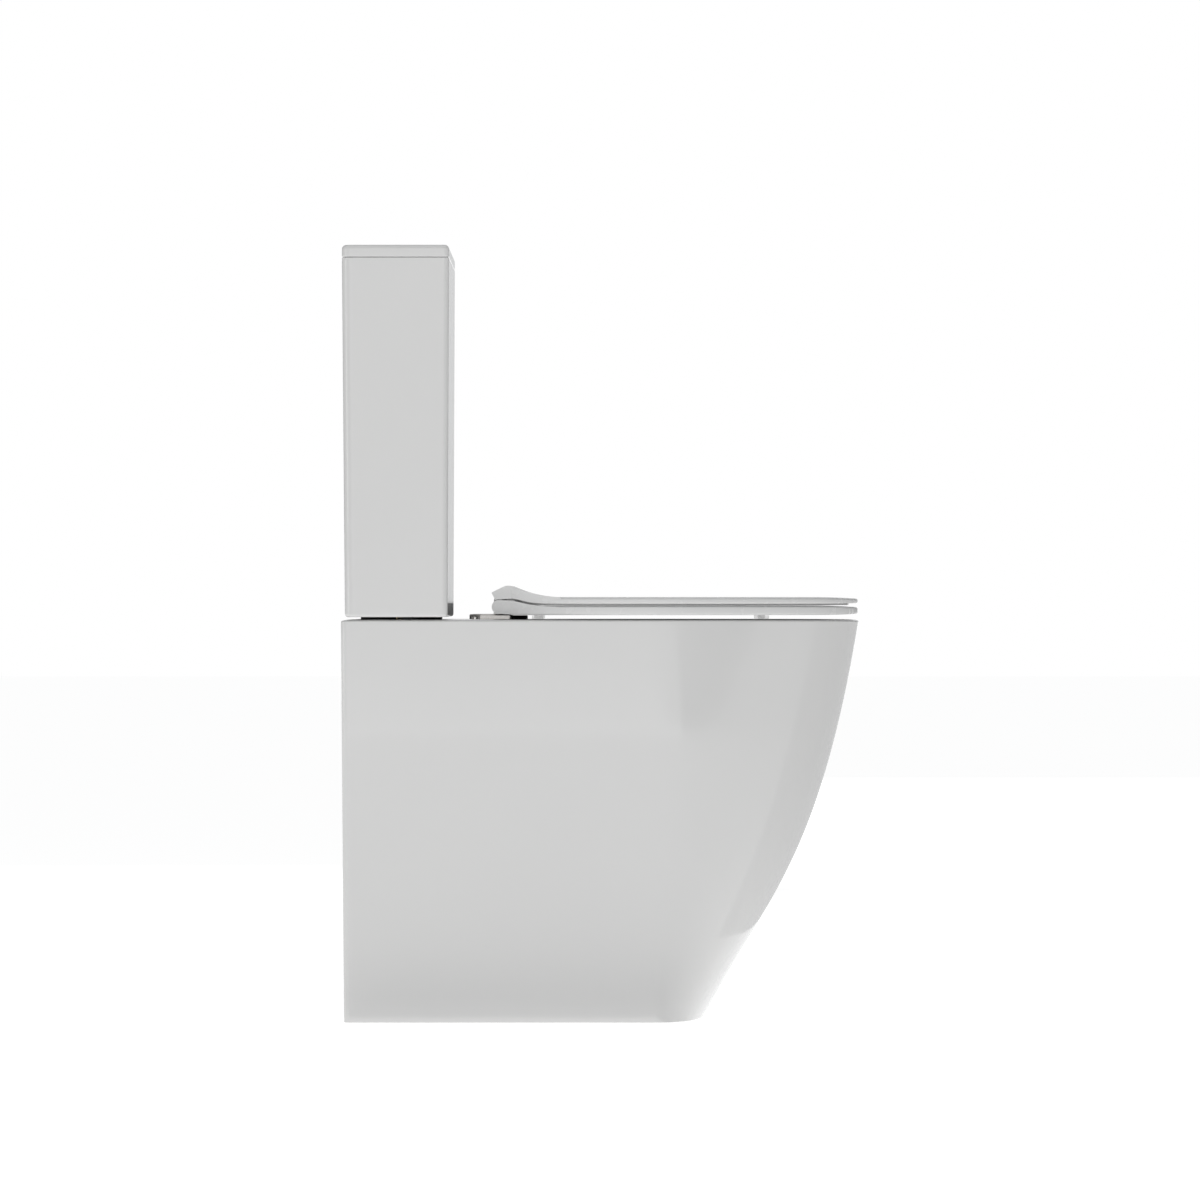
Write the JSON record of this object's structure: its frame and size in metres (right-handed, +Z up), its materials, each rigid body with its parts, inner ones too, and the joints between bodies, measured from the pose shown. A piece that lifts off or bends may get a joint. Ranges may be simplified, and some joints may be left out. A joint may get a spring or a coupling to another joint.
{
  "type": "close coupled toilet",
  "caption": "Shrouded back-to-wall close coupled toilet with rimless bowl, slim hinged seat and lid, cistern with lift-off lid, dual push button, flush valve and fill valve.",
  "frame": {"origin": "on the floor, under the middle of the overall box", "axes": "+Z up, front of the pan towards -Y, wall at +Y, +X to the right of somebody standing in front"},
  "size_m": [0.365, 0.564, 0.8428],
  "materials": {
    "china": "white gloss glaze",
    "seat_resin": "white moulded resin, satin gloss",
    "buffer": "translucent soft buffer",
    "chrome": "polished",
    "black_plastic": "satin black",
    "steel": "bright stainless",
    "rubber": "matt black",
    "nylon": "natural white",
    "brass": "plain",
    "blue_plastic": "satin"
  },
  "bodies": {
    "root": {"cistern_pad_left": "rubber", "cistern_pad_right": "rubber", "cistern_tank": "china", "coupling_gasket": "rubber", "fill_valve_body": "nylon", "fill_valve_nut": "brass", "fill_valve_seal": "rubber", "fill_valve_shank": "brass", "flush_valve_base": "nylon", "flush_valve_nut": "nylon", "flush_valve_seal": "rubber", "flush_valve_tower": "nylon", "hinge_bolt_left": "steel", "hinge_bolt_right": "steel", "hinge_bracket_left": "steel", "hinge_bracket_right": "steel", "hinge_cover_left": "chrome", "hinge_cover_right": "chrome", "hinge_nut_left": "nylon", "hinge_nut_right": "nylon", "hinge_pad_left": "black_plastic", "hinge_pad_right": "black_plastic", "hinge_pin_left": "steel", "hinge_pin_right": "steel", "hinge_washer_left": "rubber", "hinge_washer_right": "rubber", "pan": "china", "pan_bowl": "china", "pan_inlet": "china", "pan_rear_wall": "china", "pan_trapway": "china", "tank_bolt_left": "brass", "tank_bolt_nut_left": "nylon", "tank_bolt_nut_right": "nylon", "tank_bolt_right": "brass", "tank_bolt_seal_left": "rubber", "tank_bolt_seal_right": "rubber", "tank_bolt_washer_left": "brass", "tank_bolt_washer_right": "brass"},
    "seat_ring": {"seat_ring": "seat_resin", "ring_buffer_front_left": "buffer", "ring_buffer_front_right": "buffer", "ring_buffer_rear_left": "buffer", "ring_buffer_rear_right": "buffer"},
    "seat_lid": {"seat_lid": "seat_resin", "lid_buffer_left": "buffer", "lid_buffer_right": "buffer"},
    "cistern_lid": {"cistern_lid": "china", "button_bezel": "chrome", "button_ring_nut": "nylon", "button_spring_full": "steel", "button_spring_half": "steel"},
    "flush_button_full": {"flush_button_full": "chrome"},
    "flush_button_half": {"flush_button_half": "chrome"},
    "flush_valve": {"overflow_tube": "blue_plastic", "flush_seal": "rubber"},
    "rocker_full": {"rocker_full": "blue_plastic"},
    "rocker_half": {"rocker_half": "blue_plastic"},
    "float_cup": {"float_cup": "blue_plastic"},
    "float_lever": {"float_lever": "blue_plastic"}
  },
  "joints": [
    {"name": "seat_ring_hinge", "type": "hinge", "parent": "root", "child": "seat_ring", "pos_m": [0, 0.112, 0.4495], "axis": [-1, 0, 0], "range_deg": [0, 95]},
    {"name": "seat_lid_hinge", "type": "hinge", "parent": "seat_ring", "child": "seat_lid", "pos_m": [0, 0.112, 0.4495], "axis": [1, 0, 0], "range_deg": [-95, 0]},
    {"name": "cistern_lid_lift", "type": "slide", "parent": "root", "child": "cistern_lid", "axis": [0, 0, 1], "range_m": [0, 0.15]},
    {"name": "flush_button_full_press", "type": "slide", "parent": "cistern_lid", "child": "flush_button_full", "axis": [0, 0, -1], "range_m": [0, 0.007], "stiffness_N_per_m": 400, "springref_m": -0.006, "deforming": ["button_spring_full"]},
    {"name": "flush_button_half_press", "type": "slide", "parent": "cistern_lid", "child": "flush_button_half", "axis": [0, 0, -1], "range_m": [0, 0.007], "stiffness_N_per_m": 400, "springref_m": -0.006, "deforming": ["button_spring_half"]},
    {"name": "flush_valve_lift", "type": "slide", "parent": "root", "child": "flush_valve", "axis": [0, 0, 1], "range_m": [0, 0.0092]},
    {"name": "rocker_full_tilt", "type": "hinge", "parent": "root", "child": "rocker_full", "pos_m": [0.03, 0.22075, 0.72], "axis": [0, 1, 0], "range_deg": [0, 30.5]},
    {"name": "rocker_half_tilt", "type": "hinge", "parent": "root", "child": "rocker_half", "pos_m": [-0.03, 0.22075, 0.72], "axis": [0, -1, 0], "range_deg": [0, 30.5]},
    {"name": "float_rise", "type": "slide", "parent": "root", "child": "float_cup", "axis": [0, 0, 1], "range_m": [0, 0.01]},
    {"name": "float_lever_tilt", "type": "hinge", "parent": "root", "child": "float_lever", "pos_m": [0.106, 0.22075, 0.772], "axis": [0, 1, 0], "range_deg": [0, 25.5]}
  ],
  "couplings": [
    {"joint": "flush_valve_lift", "follows": "flush_button_full_press", "ratio": 1.3},
    {"joint": "rocker_full_tilt", "follows": "flush_button_full_press", "rad_per_m": 75},
    {"joint": "rocker_half_tilt", "follows": "flush_button_half_press", "rad_per_m": 75},
    {"joint": "float_lever_tilt", "follows": "float_rise", "rad_per_m": 44}
  ]
}
